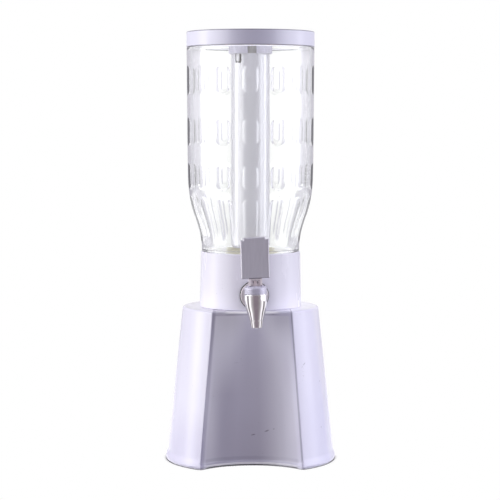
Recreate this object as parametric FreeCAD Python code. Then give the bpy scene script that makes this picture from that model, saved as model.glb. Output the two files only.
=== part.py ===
import FreeCAD, Part
import math
import os

from FreeCAD import Placement, Rotation, Vector

# Table dispenser for drinks: waisted stand, collar with a self-closing lever tap, clear jar,
# lid with an ice tube. Millimetres, +Z up, origin at the centre of the foot on the table.
# The front (tap side) faces -Y.

# ---------------------------------------------------------------- driving dimensions
# stand
BASE_H = 172.0            # height of the deck
BASE_LIP_R = 95.4         # foot lip
BASE_EDGE_R = 2.8         # rounding of the deck's edge
CREASE_R = 1.2            # rounding of the creases beside the scallop
BASE_WALL = 3.0
SCALLOP_LOW = (55.96, 76.9, 48.7)   # half chord, corner depth, centre depth at the foot
SCALLOP_TOP = (43.6, 62.2, 60.0)    # the same at the deck
SCALLOP_TOP_Z = 169.2
LIP_OUT = 2.0             # how far the foot lip stands out of the scallop
LIP_H = 3.4
DECK_HOLE_R = 24.3

# how the tower sits on the stand
TOWER_YAW = 2.4           # degrees, the collar is clamped slightly turned
TAP_ROLL = -1.7           # degrees, the tap is clamped slightly rolled about its shank

# collar
COLLAR_Z0, COLLAR_Z1 = 172.0, 233.6
COLLAR_R0, COLLAR_R1 = 56.8, 55.57
COLLAR_WALL = 3.0
CUP_R = 45.2              # inside of the collar's cup and of its spigot
SPIGOT_R = 47.7
GROOVE_R = 52.75          # outer wall of the groove that takes the jar's neck
GROOVE_Z = 217.5
CUP_FLOOR_Z = 175.3
STUD_R, STUD_BORE_R, STUD_Z0 = 24.0, 20.0, 148.0
BOSS_R = 13.5
BOSS_FLAT_Y = 42.9        # inner flat face of the tap boss, from the tower's axis

# jar
JAR_WALL = 3.0
JAR_OUT = [(54.47, 233.6), (54.56, 240.2), (55.94, 250.2), (58.01, 259.2), (60.68, 268.2),
           (64.34, 279.1), (67.2, 290.7), (68.96, 302.0), (69.82, 316.0), (70.25, 341.8),
           (70.69, 401.2), (71.13, 460.0)]
NECK_R, NECK_BORE_R, NECK_Z0 = 52.45, 49.4, 218.0
RIM_R, RIM_BORE_R, RIM_Z0, RIM_Z1 = 68.5, 65.9, 460.4, 473.1

# lid
LID_R, LID_Z0, LID_Z1 = 71.2, 460.8, 477.8
LID_SKIRT_R = 68.9
LID_TOP_T = 2.2
SOCKET_R, SOCKET_BORE_R, SOCKET_Z0 = 24.35, 21.75, 453.1
SOCKET_GROOVE_R = 23.5
LUG_W = 9.0
LUG_Z0, LUG_Z1 = 456.0, 459.8
TWIST = 44.0              # degrees from the entry notch to the locked place

# ice tube
TUBE_R, TUBE_WALL = 21.45, 2.0
TUBE_Z0, TUBE_Z1 = 237.6, 472.7
LUG_R = 23.2
WINDOW_W, WINDOW_Z0, WINDOW_Z1 = 8.9, 442.8, 453.45

# tap, in its own frame: x across, y from the spout's axis towards the tower, z up
TAP_REACH = 78.0          # spout axis to tower axis
SHANK_Z = 188.9
SHANK_R, SHANK_BORE_R, SHANK_END = 7.9, 4.2, 42.0
BULLET = [(12.35, 191.5), (12.25, 187.0), (12.05, 182.8), (11.65, 179.4), (10.75, 175.2), (9.5, 170.9), (8.4, 166.5), (7.9, 164.4)]
NOZZLE_R, NOZZLE_Z0 = 6.5, 156.0
OUTLET_R = 4.4
CHAMBER_R, CHAMBER_Z0 = 8.6, 174.1
SEAT_Z = 175.1
BODY_TOP_Z = 192.7
THREAD_R, THREAD_TOP_Z = 10.4, 198.6
FLANGE_R, WASHER_R = 15.2, 15.9
FLANGE_Y0, FLANGE_Y1 = 17.7, 20.0
BONNET_R, BONNET_Z0, BONNET_Z1 = 12.1, 192.9, 201.7
STEM_R = 3.0
PIN_R, PIN_Z = 1.0, 204.8
HEEL_Z = 201.85
CAM_RATIO = 6.0           # stem lift in mm per radian of lever tilt
TILT = 30.0               # degrees of lever tilt
NECK_W = 14.0
PLATE_W, PLATE_Z0, PLATE_Z1 = 30.9, 209.95, 254.4
PLATE_Y0, PLATE_Y1 = -6.6, -2.6
PLATE_STEP = (3.3, 2.6)
PLATE_SKEW = 0.028        # the plate's ends rise a little to one side


# ---------------------------------------------------------------- helpers
def V(x, y, z):
    return Vector(x, y, z)


def chain(*segments):
    """Edges through (r, z) points. A segment is ('L', pts) or ('S', pts)."""
    edges, last = [], None
    for kind, pts in segments:
        pts = [V(r, 0, z) for r, z in pts]
        if last is not None and (pts[0] - last).Length > 1e-6:
            edges.append(Part.makeLine(last, pts[0]))
        if kind == "L":
            for a, b in zip(pts, pts[1:]):
                edges.append(Part.makeLine(a, b))
        else:
            curve = Part.BSplineCurve()
            curve.interpolate(pts)
            edges.append(curve.toShape())
        last = pts[-1]
    first = edges[0].Vertexes[0].Point
    start = V(segments[0][1][0][0], 0, segments[0][1][0][1])
    if (last - start).Length > 1e-6:
        edges.append(Part.makeLine(last, start))
    return edges


def turn(*segments):
    """Solid of revolution about Z from a closed (r, z) profile."""
    wire = Part.Wire(Part.__sortEdges__(chain(*segments)))
    face = Part.Face(wire)
    solid = face.revolve(V(0, 0, 0), V(0, 0, 1), 360)
    if solid.Volume < 0:
        solid.reverse()
    return solid


def cyl(r, z0, z1, x=0.0, y=0.0):
    return Part.makeCylinder(r, z1 - z0, V(x, y, z0), V(0, 0, 1))


def ring(r_out, r_in, z0, z1):
    return cyl(r_out, z0, z1).cut(cyl(r_in, z0 - 1, z1 + 1))


def box(x0, x1, y0, y1, z0, z1):
    return Part.makeBox(x1 - x0, y1 - y0, z1 - z0, V(x0, y0, z0))


def poly(points, direction):
    face = Part.Face(Part.makePolygon(points + [points[0]]))
    return face.extrude(direction)


def fuse(first, *rest):
    out = first
    for other in rest:
        out = out.fuse(other)
    return out.removeSplitter()


def spin(shape, degrees):
    out = shape.copy()
    out.rotate(V(0, 0, 0), V(0, 0, 1), degrees)
    return out


def to_tower(shape):
    return spin(shape, TOWER_YAW)


def to_tap(shape):
    """From the tap's own frame to the object's."""
    out = shape.copy()
    out.rotate(V(0, 0, SHANK_Z), V(0, 1, 0), TAP_ROLL)
    out.translate(V(0, -TAP_REACH, 0))
    return spin(out, TOWER_YAW)


def tap_point(x, y, z):
    p = Rotation(V(0, 1, 0), TAP_ROLL).multVec(V(x, y, z - SHANK_Z))
    p = V(p.x, p.y - TAP_REACH, p.z + SHANK_Z)
    return Rotation(V(0, 0, 1), TOWER_YAW).multVec(p)


def tap_direction(x, y, z):
    d = Rotation(V(0, 1, 0), TAP_ROLL).multVec(V(x, y, z))
    return Rotation(V(0, 0, 1), TOWER_YAW).multVec(d)


def save(name, shape):
    solids = shape.Solids
    if len(solids) == 1:
        shape = solids[0]
    else:
        shape = Part.makeCompound(solids)
    bb = shape.BoundBox
    print("%-15s solids %d valid %s volume %10.1f  x %.1f..%.1f y %.1f..%.1f z %.1f..%.1f" % (
        name, len(solids), shape.isValid(), shape.Volume,
        bb.XMin, bb.XMax, bb.YMin, bb.YMax, bb.ZMin, bb.ZMax))
    shape.exportStep("parts/%s.step" % name)


os.makedirs("parts", exist_ok=True)


# ---------------------------------------------------------------- stand
def scallop_wire(z, half, corner, centre, back=0.0):
    """Closed outline that removes everything in front of the scallop's arc at height z."""
    corner, centre = corner - back, centre - back
    sag = corner - centre
    radius = (half * half + sag * sag) / (2.0 * sag)
    # the same arc, carried on past both corners
    reach = half + 9.0
    y_end = -centre - radius + math.sqrt(radius * radius - reach * reach)
    left, right = V(-reach, y_end, z), V(reach, y_end, z)
    far_l, far_r = V(-reach, -150.0, z), V(reach, -150.0, z)
    return Part.Wire([
        Part.Arc(left, V(0, -centre, z), right).toShape(),
        Part.makeLine(right, far_r),
        Part.makeLine(far_r, far_l),
        Part.makeLine(far_l, left),
    ])


def scallop_cutter(back=0.0):
    """Space in front of the scallop, carried on in line above the deck and below the foot."""
    low_z, top_z = 0.0, SCALLOP_TOP_Z
    z_a, z_b = -6.0, 178.0

    def at(z):
        t = (z - low_z) / (top_z - low_z)
        return [a + (b - a) * t for a, b in zip(SCALLOP_LOW, SCALLOP_TOP)]

    low, top = at(z_a), at(z_b)
    return Part.makeLoft([scallop_wire(z_a, *low, back=back), scallop_wire(z_b, *top, back=back)], True, True)


# outer form: tapered wall with the scallop cut out of its front
form = turn(("L", [(0.0, 0.0), (94.39, 0.0), (75.95, BASE_H), (0.0, BASE_H)]))
form = form.cut(scallop_cutter())

# rounded edge all round the deck, then a small rounding along both creases beside the scallop
form = form.makeFillet(BASE_EDGE_R, [e for e in form.Edges if e.BoundBox.ZMin > BASE_H - 1e-3])
creases = []
for e in form.Edges:
    a, b = e.Vertexes[0].Point, e.Vertexes[-1].Point
    if abs(a.z - b.z) > 100 and min(a.y, b.y) < -55 and abs(abs(a.x) - 46) < 16:
        creases.append(e)
form = form.makeFillet(CREASE_R, creases)
print("base form valid", form.isValid(), "creases", len(creases))

# foot lip all round, following the scallop
lip_disc = turn(
    ("L", [(0.0, 0.0), (95.0, 0.0), (95.4, 0.4), (95.4, 3.1)]),
    ("S", [(95.4, 3.1), (94.94, 5.6), (93.87, 8.6), (92.65, 11.6)]),
    ("L", [(92.65, 11.6), (0.0, 11.6)]),
)
lip_front = Part.makeLoft([
    scallop_wire(-6.0, *SCALLOP_LOW, back=-LIP_OUT),
    scallop_wire(LIP_H, *SCALLOP_LOW, back=-LIP_OUT),
], True, True)
lip_front_top = Part.makeLoft([
    scallop_wire(LIP_H, *SCALLOP_LOW, back=-LIP_OUT),
    scallop_wire(LIP_H + 2.2, *SCALLOP_LOW, back=0.15),
    scallop_wire(14.0, *SCALLOP_LOW, back=1.6),
], True, True)
lip = lip_disc.cut(lip_front).cut(lip_front_top)
form = fuse(form, lip)

# hollow inside, open underneath
hollow = turn(
    ("L", [(0.0, -2.0), (91.6, -2.0), (91.2, 6.0), (89.5, 18.0), (74.0, 162.0)]),
    ("S", [(74.0, 162.0), (73.5, 165.6), (72.7, 167.8), (70.6, 169.0)]),
    ("L", [(70.6, 169.0), (0.0, 169.0)]),
)
hollow = hollow.cut(scallop_cutter(back=BASE_WALL))
base = form.cut(hollow)
# stiffening ribs down the inside of the wall
ribs = []
for k, az in enumerate((60, 105, 150, 195, 240, 285)):
    a = math.radians(az - 90)
    rib = poly([V(83.6, -1.0, 20.0), V(90.6, -1.0, 20.0), V(75.2, -1.0, 170.0), V(62.0, -1.0, 170.0)], V(0, 2.0, 0))
    rib.rotate(V(0, 0, 0), V(0, 0, 1), az - 90)
    ribs.append(rib)
inner_limit = turn(
    ("L", [(0.0, 10.0), (91.6, 10.0), (90.9, 18.0), (75.4, 162.0), (74.0, 170.5), (0.0, 170.5)]),
)
for rib in ribs:
    base = base.fuse(rib.common(inner_limit))
# thicker land round the deck's hole
base = base.fuse(ring(34.0, DECK_HOLE_R, 167.0, 170.0))
base = base.cut(cyl(DECK_HOLE_R, 150.0, 182.0)).removeSplitter()
save("base_shell", base)

# ring nut under the deck
nut = ring(39.0, STUD_R + 0.05, 163.4, 167.0).fuse(ring(31.0, STUD_R + 0.05, 153.0, 163.4))
for k in range(8):
    grip = cyl(4.2, 151.0, 163.4, 33.0, 0.0)
    grip.rotate(V(0, 0, 0), V(0, 0, 1), 45.0 * k + 10.0)
    nut = nut.cut(grip)
save("ring_nut", nut.removeSplitter())

# ---------------------------------------------------------------- collar
collar = turn(
    ("L", [(0.0, COLLAR_Z0), (STUD_BORE_R, COLLAR_Z0), (STUD_BORE_R, STUD_Z0), (STUD_R, STUD_Z0),
           (STUD_R, COLLAR_Z0), (SPIGOT_R, COLLAR_Z0), (SPIGOT_R, GROOVE_Z - 3.0),
           (52.9, GROOVE_Z - 3.0), (53.8, COLLAR_Z0), (COLLAR_R0 - 0.4, COLLAR_Z0), (COLLAR_R0, COLLAR_Z0 + 0.4),
           (COLLAR_R1 + 0.02, COLLAR_Z1 - 0.8)]),
    ("S", [(COLLAR_R1 + 0.02, COLLAR_Z1 - 0.8), (COLLAR_R1 - 0.22, COLLAR_Z1 - 0.22), (COLLAR_R1 - 0.8, COLLAR_Z1)]),
    ("L", [(COLLAR_R1 - 0.8, COLLAR_Z1), (GROOVE_R, COLLAR_Z1), (GROOVE_R, GROOVE_Z),
           (SPIGOT_R, GROOVE_Z), (SPIGOT_R, COLLAR_Z1), (CUP_R, COLLAR_Z1), (CUP_R, CUP_FLOOR_Z),
           (0.0, CUP_FLOOR_Z)]),
)
outer_limit = Part.makeCone(COLLAR_R0 - 0.6, COLLAR_R1 - 0.6, COLLAR_Z1 - COLLAR_Z0, V(0, 0, COLLAR_Z0), V(0, 0, 1))
boss = Part.makeCylinder(BOSS_R, 20.0, V(0, -BOSS_FLAT_Y, SHANK_Z), V(0, -1, 0)).common(outer_limit)
collar = collar.fuse(boss)
for k in range(5):
    web = box(-1.0, 1.0, 46.8, 54.2, COLLAR_Z0 + 1.0, GROOVE_Z - 2.0)
    web = web.common(outer_limit)
    web.rotate(V(0, 0, 0), V(0, 0, 1), 60.0 * k - 120.0)
    collar = collar.fuse(web)
collar = collar.cut(Part.makeCylinder(SHANK_R + 0.3, 40.0, V(0, -30.0, SHANK_Z), V(0, -1, 0)))
save("collar", to_tower(collar.removeSplitter()))

# ---------------------------------------------------------------- jar and its seal
jar_in = [(51.5, 241.1), (52.9, 250.2), (55.0, 259.2), (57.7, 268.2), (61.35, 279.1), (64.2, 290.7),
          (65.96, 302.0), (66.8, 316.0), (67.25, 341.8), (67.7, 401.2), (68.1, 455.4)]
jar = turn(
    ("L", [(NECK_BORE_R, NECK_Z0), (NECK_R, NECK_Z0), (NECK_R, COLLAR_Z1), (54.1, COLLAR_Z1)]),
    ("S", [(54.1, COLLAR_Z1)] + [(54.43, 234.4)] + JAR_OUT[1:]),
    ("L", [JAR_OUT[-1], (70.7, RIM_Z0), (RIM_R, RIM_Z0), (RIM_R, RIM_Z1 - 0.6), (RIM_R - 0.6, RIM_Z1),
           (RIM_BORE_R + 0.6, RIM_Z1), (RIM_BORE_R, RIM_Z1 - 0.6), (RIM_BORE_R, 459.9)]),
    ("S", [(RIM_BORE_R, 459.9), (67.1, 458.0), jar_in[-1]]),
    ("S", list(reversed(jar_in))),
    ("S", [jar_in[0], (50.5, 238.1), (NECK_BORE_R, 236.1)]),
)
save("jar", jar)

seal = turn(
    ("L", [(SPIGOT_R, 223.0), (NECK_BORE_R, 223.0), (NECK_BORE_R, 234.8), (NECK_BORE_R - 0.8, 235.6),
           (44.3, 235.6), (43.5, 234.8), (43.5, 223.0), (CUP_R, 223.0), (CUP_R, COLLAR_Z1), (SPIGOT_R, COLLAR_Z1)]),
)
save("jar_seal", seal)

# ---------------------------------------------------------------- lid
under = LID_Z1 - LID_TOP_T
lid = turn(
    ("L", [(0.0, under), (SOCKET_BORE_R, under), (SOCKET_BORE_R, SOCKET_Z0), (SOCKET_R - 0.6, SOCKET_Z0),
           (SOCKET_R, SOCKET_Z0 + 0.9), (SOCKET_R, under), (LID_SKIRT_R, under), (LID_SKIRT_R, LID_Z0),
           (LID_R - 0.3, LID_Z0), (LID_R, LID_Z0 + 0.3), (LID_R, LID_Z1 - 1.2)]),
    ("S", [(LID_R, LID_Z1 - 1.2), (LID_R - 0.35, LID_Z1 - 0.35), (LID_R - 1.2, LID_Z1)]),
    ("L", [(LID_R - 1.2, LID_Z1), (64.7, LID_Z1), (64.1, LID_Z1 - 0.6), (0.0, LID_Z1 - 0.6)]),
)
# six ribs under the lid's disc, out to the ring that the seal sits on
for k in range(6):
    rib = box(SOCKET_R - 0.5, 63.2, -0.8, 0.8, under - 3.0, under + 0.5)
    rib.rotate(V(0, 0, 0), V(0, 0, 1), 60.0 * k + 30.0)
    lid = lid.fuse(rib)
lid = lid.fuse(ring(65.1, 63.3, under - 3.6, under + 0.3))


def arc_slot(r_in, r_out, z0, z1, a0, a1):
    """Part of a ring between two azimuths, counted from the front towards +X."""
    outer = Part.makeCylinder(r_out, z1 - z0, V(0, 0, z0), V(0, 0, 1), a1 - a0)
    inner = Part.makeCylinder(r_in, z1 - z0 + 2, V(0, 0, z0 - 1), V(0, 0, 1))
    out = outer.cut(inner)
    out.rotate(V(0, 0, 0), V(0, 0, 1), a0 - 90.0)
    return out


half_lug = math.degrees(math.asin(LUG_W / 2.0 / SOCKET_BORE_R))
half_lug += 1.6
for start in (0.0, 180.0):
    # entry notch straight through the socket's wall, then the groove that the lug turns in
    notch = box(-LUG_W / 2 - 0.35, LUG_W / 2 + 0.35, -27.0, -20.0, SOCKET_Z0 - 1.0, LID_Z0 + 0.3)
    notch.rotate(V(0, 0, 0), V(0, 0, 1), start)
    lid = lid.cut(notch)
    groove = arc_slot(SOCKET_BORE_R - 0.6, SOCKET_GROOVE_R, LUG_Z0 - 0.3, LUG_Z1 + 0.3,
                      start - TWIST - half_lug, start + half_lug)
    lid = lid.cut(groove)
save("lid", to_tower(lid.removeSplitter()))

save("lid_seal", ring(LID_SKIRT_R, 65.2, RIM_Z1 + 0.02, under))
save("tube_seal", ring(SOCKET_BORE_R, 18.6, TUBE_Z1 + 0.3, under))

# ---------------------------------------------------------------- ice tube
ri = TUBE_R - TUBE_WALL
tube = turn(
    ("L", [(0.0, TUBE_Z0), (TUBE_R - 4.0, TUBE_Z0)]),
    ("S", [(TUBE_R - 4.0, TUBE_Z0), (TUBE_R - 1.17, TUBE_Z0 + 1.17), (TUBE_R, TUBE_Z0 + 4.0)]),
    ("L", [(TUBE_R, TUBE_Z0 + 4.0), (TUBE_R, TUBE_Z1), (ri, TUBE_Z1), (ri, TUBE_Z0 + 5.0)]),
    ("S", [(ri, TUBE_Z0 + 5.0), (ri - 0.88, TUBE_Z0 + 2.88), (ri - 3.0, TUBE_Z0 + 2.0)]),
    ("L", [(ri - 3.0, TUBE_Z0 + 2.0), (0.0, TUBE_Z0 + 2.0)]),
)
for start in (0.0, 180.0):
    lug = box(-LUG_W / 2, LUG_W / 2, -26.0, -20.5, LUG_Z0, LUG_Z1)
    lug = lug.common(ring(LUG_R, TUBE_R - 0.6, LUG_Z0, LUG_Z1))
    lug.rotate(V(0, 0, 0), V(0, 0, 1), start - TWIST)
    tube = tube.fuse(lug)
    w, rr = WINDOW_W / 2, 2.2
    win = box(-w, w, -26.0, -12.0, WINDOW_Z0, WINDOW_Z1)
    win = win.makeFillet(rr, [e for e in win.Edges if abs(e.Vertexes[0].Point.y - e.Vertexes[-1].Point.y) > 10])
    win.rotate(V(0, 0, 0), V(0, 0, 1), start - TWIST)
    tube = tube.cut(win)
save("ice_tube", to_tower(tube.removeSplitter()))

# ---------------------------------------------------------------- tap body and what clamps it
body = turn(
    ("L", [(0.0, NOZZLE_Z0), (NOZZLE_R - 0.4, NOZZLE_Z0), (NOZZLE_R, NOZZLE_Z0 + 0.4), (6.95, 158.9), (7.6, 163.9), (7.9, 164.4)]),
    ("S", list(reversed(BULLET))),
    ("S", [BULLET[0], (12.62, 191.75), (12.62, 192.3), (12.25, BODY_TOP_Z)]),
    ("L", [(12.25, BODY_TOP_Z), (0.0, BODY_TOP_Z)]),
)
shank = Part.makeCylinder(7.0, 8.0, V(0, 7.0, SHANK_Z), V(0, 1, 0))
shank = shank.fuse(Part.makeCylinder(9.5, FLANGE_Y0 - 14.4, V(0, 14.4, SHANK_Z), V(0, 1, 0)))
shank = shank.fuse(Part.makeCylinder(SHANK_R, SHANK_END - 14.4, V(0, 14.4, SHANK_Z), V(0, 1, 0)))
shank = shank.cut(cyl(BONNET_R + 0.25, BODY_TOP_Z, 207.0))
body = body.fuse(shank)
body = body.fuse(cyl(THREAD_R, BODY_TOP_Z - 1.0, THREAD_TOP_Z))
cavity = cyl(CHAMBER_R, CHAMBER_Z0, THREAD_TOP_Z + 1.0).cut(
    cyl(OUTLET_R + 1.1, CHAMBER_Z0 - 0.01, SEAT_Z))
body = body.cut(cavity).cut(cyl(OUTLET_R, NOZZLE_Z0 - 1.0, SEAT_Z + 1.0))
body = body.cut(Part.makeCylinder(SHANK_BORE_R, SHANK_END + 1.0, V(0, 0, SHANK_Z), V(0, 1, 0)).cut(
    cyl(CHAMBER_R - 0.5, 150.0, 207.0)))
save("tap_body", to_tap(body.removeSplitter()))


def disc_y(r_out, r_in, y0, y1):
    out = Part.makeCylinder(r_out, y1 - y0, V(0, y0, SHANK_Z), V(0, 1, 0))
    return out.cut(Part.makeCylinder(r_in, y1 - y0 + 2, V(0, y0 - 1, SHANK_Z), V(0, 1, 0)))


flange = disc_y(FLANGE_R, SHANK_R + 0.05, FLANGE_Y0, FLANGE_Y1)
front_edge = [e for e in flange.Edges if abs(e.BoundBox.YMax - FLANGE_Y0) < 1e-3 and e.BoundBox.ZLength > 2 * FLANGE_R - 1]
flange = flange.makeFillet(1.2, front_edge)
save("tap_flange", to_tap(flange))

# the rubber washer fills the space between the flat flange and the round collar
collar_body = Part.makeCone(COLLAR_R0 + 0.1, COLLAR_R1 + 0.1, COLLAR_Z1 - COLLAR_Z0, V(0, 0, COLLAR_Z0), V(0, 0, 1))
washer = to_tap(disc_y(WASHER_R, SHANK_R + 0.05, FLANGE_Y1, FLANGE_Y1 + 6.0)).cut(to_tower(collar_body))
save("outer_washer", washer)

inner_y0 = TAP_REACH - BOSS_FLAT_Y
save("inner_washer", to_tap(disc_y(12.6, SHANK_R, inner_y0, inner_y0 + 1.6)))

hexagon = [V(12.7 * math.cos(math.radians(60 * k)), inner_y0 + 1.6, SHANK_Z + 12.7 * math.sin(math.radians(60 * k)))
           for k in range(6)]
hex_nut = poly(hexagon, V(0, 4.4, 0))
if hex_nut.Volume < 0:
    hex_nut.reverse()
hex_nut = hex_nut.cut(Part.makeCylinder(SHANK_R, 10.0, V(0, inner_y0, SHANK_Z), V(0, 1, 0)))
save("shank_nut", to_tap(hex_nut))

# ---------------------------------------------------------------- bonnet, stem, cup, spring
bonnet = turn(
    ("L", [(THREAD_R, BONNET_Z0), (BONNET_R - 0.3, BONNET_Z0), (BONNET_R, BONNET_Z0 + 0.3), (BONNET_R, 198.3)]),
    ("S", [(BONNET_R, 198.3), (11.6, 199.8), (10.4, 200.9), (8.6, BONNET_Z1)]),
    ("L", [(8.6, BONNET_Z1), (STEM_R + 0.1, BONNET_Z1), (STEM_R + 0.1, 199.7), (THREAD_R, 199.7)]),
)
save("bonnet", to_tap(bonnet))
save("stem_seal", to_tap(ring(THREAD_R, STEM_R + 0.05, THREAD_TOP_Z, 199.7)))

stem = cyl(STEM_R, 178.1, 202.0)
stem = stem.fuse(cyl(4.6, 182.7, 184.1))
stem = stem.fuse(turn(("L", [(0.0, 176.7), (3.4, 176.7), (4.2, 178.5), (STEM_R, 180.3), (0.0, 180.3)])))
head = cyl(STEM_R, 201.1, PIN_Z + 2.3).common(box(-1.7, 1.7, -4.0, 4.0, 201.1, PIN_Z + 2.3))
head_round = Part.makeCylinder(2.3, 6.0, V(-3.0, 0, PIN_Z), V(1, 0, 0)).fuse(box(-3, 3, -4, 4, 201.1, PIN_Z))
head = head.common(head_round)
stem = stem.fuse(head)
stem = stem.cut(Part.makeCylinder(PIN_R + 0.04, 10.0, V(-5.0, 0, PIN_Z), V(1, 0, 0)))
save("stem", to_tap(stem.removeSplitter()))

cup = turn(
    ("L", [(0.0, SEAT_Z + 0.05), (6.9, SEAT_Z + 0.05), (7.7, SEAT_Z + 0.9), (7.7, 182.7), (STEM_R, 182.7), (STEM_R, 180.3),
           (4.2, 178.5), (3.4, 176.7), (0.0, 176.7)]),
)
save("seat_cup", to_tap(cup))

# coil spring between the stem's shoulder and the seal under the bonnet
wire_r, coil_r, spring_z0, spring_z1, turns = 0.45, 5.4, 184.1, 198.6, 5.0
pitch = (spring_z1 - spring_z0 - 2 * wire_r) / turns
helix = Part.makeHelix(pitch, spring_z1 - spring_z0 - 2 * wire_r, coil_r)
helix.translate(V(0, 0, spring_z0 + wire_r))
start = helix.Edges[0].valueAt(helix.Edges[0].FirstParameter)
tangent = helix.Edges[0].tangentAt(helix.Edges[0].FirstParameter)
round_wire = Part.makeCircle(wire_r, start, tangent).Curve
section = Part.Wire([Part.ArcOfCircle(round_wire, 0, math.pi).toShape(),
                     Part.ArcOfCircle(round_wire, math.pi, 2 * math.pi).toShape()])
sweep = Part.BRepOffsetAPI.MakePipeShell(Part.Wire(helix.Edges))
sweep.setFrenetMode(True)
sweep.setTolerance(0.01, 0.01, 0.01)
sweep.add(section)
sweep.build()
sweep.makeSolid()
save("return_spring", to_tap(sweep.shape()))

# ---------------------------------------------------------------- lever with its plate
# heel outline in the y, z plane: an involute for a steady lift of the stem
h0 = PIN_Z - HEEL_Z
pts = [(-5.9, PIN_Z + 2.0)]
heel = []
steps = 7
for k in range(steps + 1):
    t = math.radians(TILT + 3.0) * k / steps
    h = h0 + CAM_RATIO * t
    # lowest direction of the tilted lever, seen in the lever's own frame
    dn = (-math.sin(t), -math.cos(t))
    side = (-math.cos(t), math.sin(t))
    heel.append((h * dn[0] + CAM_RATIO * side[0], h * dn[1] + CAM_RATIO * side[1]))
heel = [(y, z + PIN_Z) for y, z in heel]
front = list(reversed(heel))
outline = front + [(5.2, HEEL_Z), (6.0, HEEL_Z + 0.8), (5.6, 206.7), (2.2, 210.5), (1.9, 245.1), (-2.6, 245.1),
                   (-2.6, 209.65), (-6.2, 209.4)]
lever = poly([V(-NECK_W / 2, y, z) for y, z in outline], V(NECK_W, 0, 0))
if lever.Volume < 0:
    lever.reverse()
# the blade behind the plate is narrower than the neck
lever = lever.cut(box(-8, -5.2, -3, 4, 211.6, 252)).cut(box(5.2, 8, -3, 4, 211.6, 252))
# shallow channel down the front of the neck
lever = lever.cut(box(-4.9, 4.9, -20.0, -5.0, 200.1, 208.7))
# fork: the slot takes the stem's head
lever = lever.cut(box(-3.0, 3.0, -20.0, 20.0, 192.1, PIN_Z + 2.9))
lever = lever.cut(Part.makeCylinder(PIN_R + 0.04, 20.0, V(-10.0, 0, PIN_Z), V(1, 0, 0)))
for z in (219.1, 238.1):
    lever = lever.cut(Part.makeCylinder(1.3, 12.0, V(0, -4.0, z), V(0, 1, 0)))
save("lever", to_tap(lever.removeSplitter()))

save("lever_pin", to_tap(Part.makeCylinder(PIN_R, NECK_W - 1.0, V(-NECK_W / 2 + 0.5, 0, PIN_Z), V(1, 0, 0))))

hw, (sx, sz) = PLATE_W / 2, PLATE_STEP
plate_outline = [(-hw + 0.2, PLATE_Z0), (hw - 0.2, PLATE_Z0), (hw, PLATE_Z1 - sz), (hw - sx, PLATE_Z1 - sz), (hw - sx, PLATE_Z1),
                 (-hw + sx, PLATE_Z1), (-hw + sx, PLATE_Z1 - sz), (-hw, PLATE_Z1 - sz)]
plate = poly([V(x, PLATE_Y0, z + PLATE_SKEW * x) for x, z in plate_outline], V(0, PLATE_Y1 - PLATE_Y0, 0))
if plate.Volume < 0:
    plate.reverse()
rim = [e for e in plate.Edges if e.BoundBox.YMax < PLATE_Y0 + 1e-3]
try:
    chamfered = plate.makeChamfer(0.9, rim)
    if chamfered.isValid():
        plate = chamfered
except Exception as err:
    print("plate chamfer failed", err)
for z in (219.1, 238.1):
    plate = plate.cut(Part.makeCylinder(0.95, 3.0, V(0, PLATE_Y1 - 2.6, z), V(0, 1, 0)))
save("handle_plate", to_tap(plate))

screws = []
for z in (219.1, 238.1):
    y_head = 1.95 + (2.2 - 1.95) * (245.1 - z) / 34.6
    screw = Part.makeCylinder(0.95, y_head + 4.9, V(0, -4.9, z), V(0, 1, 0))
    screw = screw.fuse(Part.makeCylinder(2.1, 1.2, V(0, y_head, z), V(0, 1, 0)))
    screw = screw.cut(box(-1.3, 1.3, y_head + 0.6, y_head + 2.0, z - 0.25, z + 0.25))
    screws.append(screw.removeSplitter())
save("plate_screws", to_tap(Part.makeCompound(screws)))

for label, p in (("pin", tap_point(0, 0, PIN_Z)), ("outlet", tap_point(0, 0, NOZZLE_Z0)),
                 ("outlet_mid", tap_point(0, 0, 162.0)), ("spring_top", tap_point(0, 0, spring_z1))):
    print("point", label, round(p.x, 4), round(p.y, 4), round(p.z, 4))
for label, d in (("across", tap_direction(1, 0, 0)), ("up", tap_direction(0, 0, 1))):
    print("direction", label, round(d.x, 6), round(d.y, 6), round(d.z, 6))
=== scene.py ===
import math

import bpy
import numpy as np
from mathutils import Matrix, Vector


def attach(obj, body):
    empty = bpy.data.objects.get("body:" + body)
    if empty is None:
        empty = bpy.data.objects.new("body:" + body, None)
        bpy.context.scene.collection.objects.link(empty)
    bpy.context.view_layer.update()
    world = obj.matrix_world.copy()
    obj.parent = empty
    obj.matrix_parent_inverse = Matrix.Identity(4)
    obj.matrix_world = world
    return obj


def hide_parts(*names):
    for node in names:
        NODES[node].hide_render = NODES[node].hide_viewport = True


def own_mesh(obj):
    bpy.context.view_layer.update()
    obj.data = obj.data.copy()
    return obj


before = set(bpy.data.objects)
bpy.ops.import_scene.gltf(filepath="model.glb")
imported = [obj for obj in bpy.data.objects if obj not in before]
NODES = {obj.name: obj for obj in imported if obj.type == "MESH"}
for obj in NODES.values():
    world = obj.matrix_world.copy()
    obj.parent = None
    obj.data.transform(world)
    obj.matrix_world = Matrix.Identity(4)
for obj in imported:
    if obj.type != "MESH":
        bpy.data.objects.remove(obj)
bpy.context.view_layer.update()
scene = bpy.context.scene
scene.view_settings.view_transform = "Standard"

MM = 0.001

# ------------------------------------------------------------------ camera
VIEW_TURN = math.radians(1.8)      # the camera stands a little to the left of the front
DISTANCE = 1.9646
CAM_HEIGHT = 0.3800
PITCH = math.radians(4.236)
FOCAL_PX = 1755.2

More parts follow.
